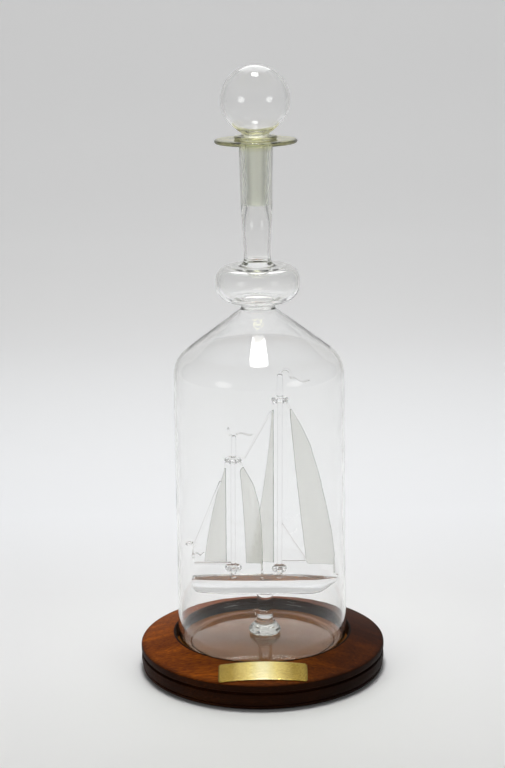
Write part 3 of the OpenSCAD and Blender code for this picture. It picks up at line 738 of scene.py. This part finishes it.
def make_sails():
    sail("genoa", [
        ([(26.6, 64.2), (25.4, 65.2)] + bowed((25.4, 66), (15, 160), 0.3, 6) + [(14.9, 162.9)],
         [(42.4, 64.2), (42.8, 70.9), (41, 85.1), (37.2, 103.7), (32.8, 122.1), (27.5, 139.9), (22.5, 151.3),
          (15.8, 162.9)], 20),
        ([(42.3, 58.6), (41.9, 66.0)], [(43.3, 58.6), (42.95, 66.0)], 2)],
        (45, 0), (14, 0), 62.0, "genoa")
    sail("mainsail", [
        (list(reversed(bowed((4.1, 161), (-9.8, FOOT_Z), 2, 8))) + [(4.2, 162)],
         [(5.4, FOOT_Z), (5, 162)], 16)], (6, 0.4), (-10.5, 3.2), 34.0, "mainsail")
    sail("mizzen_staysail", [
        (bowed((-11.5, 65.5), (-15.3, 124.6), -0.5, 5) + [(-13.7, 126.7)],
         [(-1.6, 65.5), (-1.4, 74.1), (-2.1, 89), (-3.6, 103.7), (-7, 115.8), (-10.2, 121.5),
          (-13.1, 126.7)], 14),
        ([(-2.2, 62.0), (-2.5, 67.0)], [(-1.3, 62.0), (-1.45, 67.0)], 2)],
        (0, -2.2), (-16, -0.6), 36.0, "mizzen_staysail")
    sail("mizzen_sail", [
        (list(reversed(bowed((-24.9, 124), (-37.1, FOOT_Z + 0.8), -1.6, 7))) + [(-24.7, 125.8)],
         [(-23.6, FOOT_Z + 0.8), (-23.9, 125.8)], 14)], (-23, 0), (-38, 1.2), 38.0, "mizzen_sail")


def thread(name, p, q, r, node, r_end=None):
    """A straight glass thread with melted, rounded ends."""
    r_end = r_end or r
    n = 8
    path = []
    length = math.dist(p, q)
    for t in (0.0, 0.25 * r, 0.6 * r, r):
        path.append((t / length, r * math.sqrt(max(0.004, 1 - (1 - t / r) ** 2))))
    path += [(r / length + (1 - 2 * r / length) * i / n, r + (r_end - r) * i / n) for i in range(1, n)]
    for t in (r, 0.6 * r, 0.25 * r, 0.0):
        path.append((1 - t / length, r_end * math.sqrt(max(0.004, 1 - (1 - t / r) ** 2))))
    points = [tuple(a + (b - a) * t for a, b in zip(p, q)) + (g,) for t, g in path]
    return drawn(name, points, THREAD, node)


def ribbon(name, p, q, height, waves, node, thick, width, n=40):
    """A small flag: a flattened thread with waves pressed into it."""
    turn = thick / 2
    length = math.hypot(q[0] - p[0], q[1] - p[1])
    rows = []
    for along, rise in rimmed(length, turn, n):
        t = along / length
        x, z = p[0] + (q[0] - p[0]) * t, p[1] + (q[1] - p[1]) * t
        z += height * math.sin(math.tau * waves * t)
        rows.append([((x, across - width / 2, z), turn * min(rise, lift))
                     for across, lift in rimmed(width, turn, 3)])
    pressed(name, [rows], THREAD, BOTTLE, "clear_glass", node, in_ship())


def make_rigging():
    thread("triatic_stay", (3.4, 0, 161.5), (-12.6, 0, 132.3), 0.55, "triatic_stay")
    thread("backstay", (-26.9, -0.35, 118), (-43.9, 0, 75.6), 0.74, "backstay")
    thread("mizzen_boom", (MIZZEN_X - 1.2, 0, FOOT_Z - 0.1), (-43.4, 0, FOOT_Z - 0.1), 0.74, "mizzen_boom")
    thread("genoa_sheet", (MAIN_X + 1.2, 0, 90.7), (25.1, 0, 67.6), 0.44, "genoa_sheet")
    thread("genoa_foot_rod", (MAIN_X + 1.2, 0, 66.6), (25, 0, 66.6), 0.44, "genoa_foot_rod")
    thread("deck_post", (-1.8, -2, DECK - 0.05), (-1.8, -2, DECK + 6), 0.9, "deck_post", 0.6)
    bend, turn_z = 3.1, 184.8
    crook = [(MAIN_X - 0.1 + bend + bend * math.cos(math.radians(a)), 0.0,
              turn_z + bend * math.sin(math.radians(a)), 0.84) for a in range(178, -33, -6)]
    drawn("main_crook", crook, THREAD, "main_crook")
    hook = [(MIZZEN_X + 0.5 - 1.6 + 1.6 * math.cos(math.radians(a)), 0.0,
             148.2 + 1.6 * math.sin(math.radians(a)), 0.59) for a in range(280, 179, -10)]
    hook += [(MIZZEN_X - 2.7, 0.0, z, r) for z, r in ((149.4, 0.59), (151.2, 0.5), (151.5, 0.2))]
    drawn("mizzen_hook", hook, THREAD, "mizzen_hook")
    staff = [(-44.0, 0, FOOT_Z + 0.1, 0.35), (-44.02, 0, 66.0, 0.5), (-44.15, 0, 68.6, 0.5),
             (-44.17, 0, 69.2, 0.9), (-44.2, 0, 70.0, 1.18), (-44.23, 0, 70.8, 0.9), (-44.26, 0, 71.4, 0.5),
             (-44.45, 0, 75.5, 0.5), (-44.6, 0, 77.8, 0.5)]
    centre_x = -44.6 - 1.9
    loop = [(centre_x + 1.9 * math.cos(math.radians(a)), 1.9 * math.sin(math.radians(a)),
             78.4 - 0.35 + 0.35 * math.cos(math.radians(a)), 0.6) for a in range(0, 331, 15)]
    drawn("ensign_staff", staff + loop, THREAD, "ensign_staff")
    ribbon("main_pennant", (14.9, 182.2), (26.9, 180.0), 0.85, 1.2, "main_pennant", 0.78, 1.6)
    ribbon("mizzen_pennant", (-17.6, 147.2), (-7.6, 147.6), 0.68, 0.9, "mizzen_pennant", 0.78, 1.6)
    ribbon("ensign", (-43.2, 70.9), (-37.6, 71.6), 0.78, 1.1, "ensign", 0.68, 1.5, n=24)
    bead = [(1.1 * math.cos(math.radians(a)), DECK + 1.1 + 1.09 * math.sin(math.radians(a)))
            for a in range(-90, 91, 12)]
    turned("bow_bead", bead, THREAD, BOTTLE, "clear_glass", ["bow_bead"], steps=24, where=in_ship(44.3))


def make_head_links():
    """Four short threads from the masthead beads to the heads of the sails, kept as one piece."""
    runs = [((13.2, 0, 167), (15.1, 0, 163.2)), ((4.7, 0.3, 166.9), (4.6, 0.4, 162.3)),
            ((-24.1, 0, 129.7), (-24.3, 0.2, 126.2)), ((-14.9, -0.3, 129.7), (-13.8, -0.7, 127))]
    points, links, girth = [], [], []
    for p, q in runs:
        first = len(points)
        for t, g in ((0, 0.3), (0.06, 0.52), (0.14, 0.58), (0.5, 0.55), (0.86, 0.58), (0.94, 0.52), (1, 0.3)):
            points.append(tuple(a + (b - a) * t for a, b in zip(p, q)))
            girth.append(g)
        links += [(i, i + 1) for i in range(first, len(points) - 1)]
    make("sail_head_links", DRAWN, points, links, BOTTLE, "clear_glass", ["sail_head_links"],
         attribute=("girth", girth), **{"Steps": 16, "Material": THREAD, **in_ship()})


make_plinth()
make_felt()
make_nameplate()
make_bottle()
make_stopper()
make_pedestal()
make_hull()
make_masts()
make_sails()
make_rigging()
make_head_links()


# ---------------------------------------------------------------- studio

def make_sweep():
    """Pale paper from the table up the wall in one curve. Its colour is palest about 0.3 m behind the
    axis and a little greyer in front and further back, painted shade for the lamps' falloff.
    Further than 0.15 m from the axis the paper glows by itself, faintly at first and most beyond 1 m:
    painted light where the lamps don't reach."""
    bend_y, bend_r, front, half, top = 1.9, 1.1, -3.0, 3.0, 2.4
    line = [(front, 0.0), (0.0, 0.0), (bend_y, 0.0)]       # across the floor, then up the bend
    line += [(bend_y + bend_r * math.sin(math.radians(a)), bend_r - bend_r * math.cos(math.radians(a)))
             for a in range(6, 91, 6)]
    line.append((bend_y + bend_r, top))
    mesh = bpy.data.meshes.new("paper_sweep")
    mesh.from_pydata([(x, y, z) for y, z in line for x in (-half, half)], [],
                     [(2 * i, 2 * i + 1, 2 * i + 3, 2 * i + 2) for i in range(len(line) - 1)])
    for face in mesh.polygons:
        face.use_smooth = True
    sweep = bpy.data.objects.new("paper_sweep", mesh)
    bpy.context.scene.collection.objects.link(sweep)
    material, tree, shader, mm = surface("background_paper")
    constant(shader, roughness=0.9, specular_ior_level=0.1)
    part = add(tree, "ShaderNodeSeparateXYZ", {0: mm}).outputs
    far = calc(tree, "MAXIMUM", calc(tree, "ABSOLUTE", part[0]), calc(tree, "ABSOLUTE", part[1]))
    # painted light: the paper glows by itself, more the further it is from the axis
    glow = ramp(tree, calc(tree, "DIVIDE", far, 3000.0), [
        (0.05, srgb("000000")), (0.11, srgb("2E2F2F")), (0.15, srgb("484949")),
        (0.2, srgb("555656")), (0.25, srgb("5E5F5F")),
        (0.31, srgb("666666")), (0.387, srgb("787878")), (0.537, srgb("929292")), (0.763, srgb("A1A1A1")),
        (1.0, srgb("A6A6A6"))])
    constant(shader, emission_strength=1.0)
    tree.links.new(glow, shader.inputs["Emission Color"])
    # painted shade: the paper is palest about 0.3 m behind the axis and a little greyer in front and further
    # back
    back = add(tree, "ShaderNodeMapRange", {"Value": part[1], "From Min": -150.0, "From Max": 1100.0})
    colour = ramp(tree, back.outputs[0], [
        (0.0, srgb("E8E8E7")), (0.1, srgb("ECECEC")), (0.22, srgb("EDEDEE")), (0.36, srgb("F4F5F7")),
        (1.0, srgb("EAEAEA"))])
    tree.links.new(colour, shader.inputs["Base Color"])
    sweep.data.materials.append(material)


def softbox(name, place, target, width, height, power):
    """A lamp behind a diffuser of this width and height (metres), turned towards its target."""
    light = bpy.data.lights.new(name, "AREA")
    light.shape = "RECTANGLE"
    light.size, light.size_y, light.energy = width, height, power
    lamp = bpy.data.objects.new(name, light)
    lamp.location = place
    lamp.rotation_euler = (Vector(target) - Vector(place)).to_track_quat("-Z", "Y").to_euler()
    bpy.context.scene.collection.objects.link(lamp)
    return lamp


def make_lights():
    softbox("overhead_softbox", (0.0, 0.05, 1.25), (0.0, 0.05, 0.2), 0.28, 0.26, 8.1).data.shape = "ELLIPSE"
    softbox("rear_softbox", (0.0, 0.85, 1.3), (0.0, 0.0, 0.05), 0.9, 1.0, 3.4)
    for side in (-1, 1):
        lamp = softbox("side_softbox", (side * 0.74, -0.66, 0.42), (0.0, 0.0, 0.2), 0.42, 0.34, 1.3)
        lamp.data.shape = "ELLIPSE"
    wash = softbox("background_wash", (0.0, 0.3, 1.9), (0.0, 1.6, 0.0), 1.6, 0.5, 9.4)
    wash.visible_glossy = wash.visible_transmission = False
    # the room is seen in the glass and past the paper, and the lamps alone light the matt surfaces
    world = bpy.data.worlds.new("studio")
    bpy.context.scene.world = world
    world.use_nodes = True
    world.node_tree.nodes["Background"].inputs["Color"].default_value = srgb("E0E2E4")
    world.node_tree.nodes["Background"].inputs["Strength"].default_value = 0.45
    world.cycles_visibility.diffuse = False


def make_camera():
    data = bpy.data.cameras.new("camera")
    data.sensor_fit, data.sensor_height, data.lens = "VERTICAL", 36.0, 85.07
    data.clip_start, data.clip_end = 0.05, 20.0
    camera = bpy.data.objects.new("camera", data)
    bpy.context.scene.collection.objects.link(camera)
    camera.matrix_world = (
        Matrix.Translation((0.0, -1.057025, 0.4381575)) @ Matrix.Rotation(0.0037, 4, "Z")
        @ Matrix.Rotation(math.radians(90.0) - 0.2409, 4, "X") @ Matrix.Rotation(-0.0145, 4, "Z"))
    bpy.context.scene.camera = camera


make_sweep()
make_lights()
make_camera()
scene = bpy.context.scene
scene.view_settings.view_transform = "Standard"
scene.cycles.max_bounces = 24
scene.cycles.transmission_bounces = 24
scene.cycles.glossy_bounces = 12
scene.cycles.transparent_max_bounces = 32
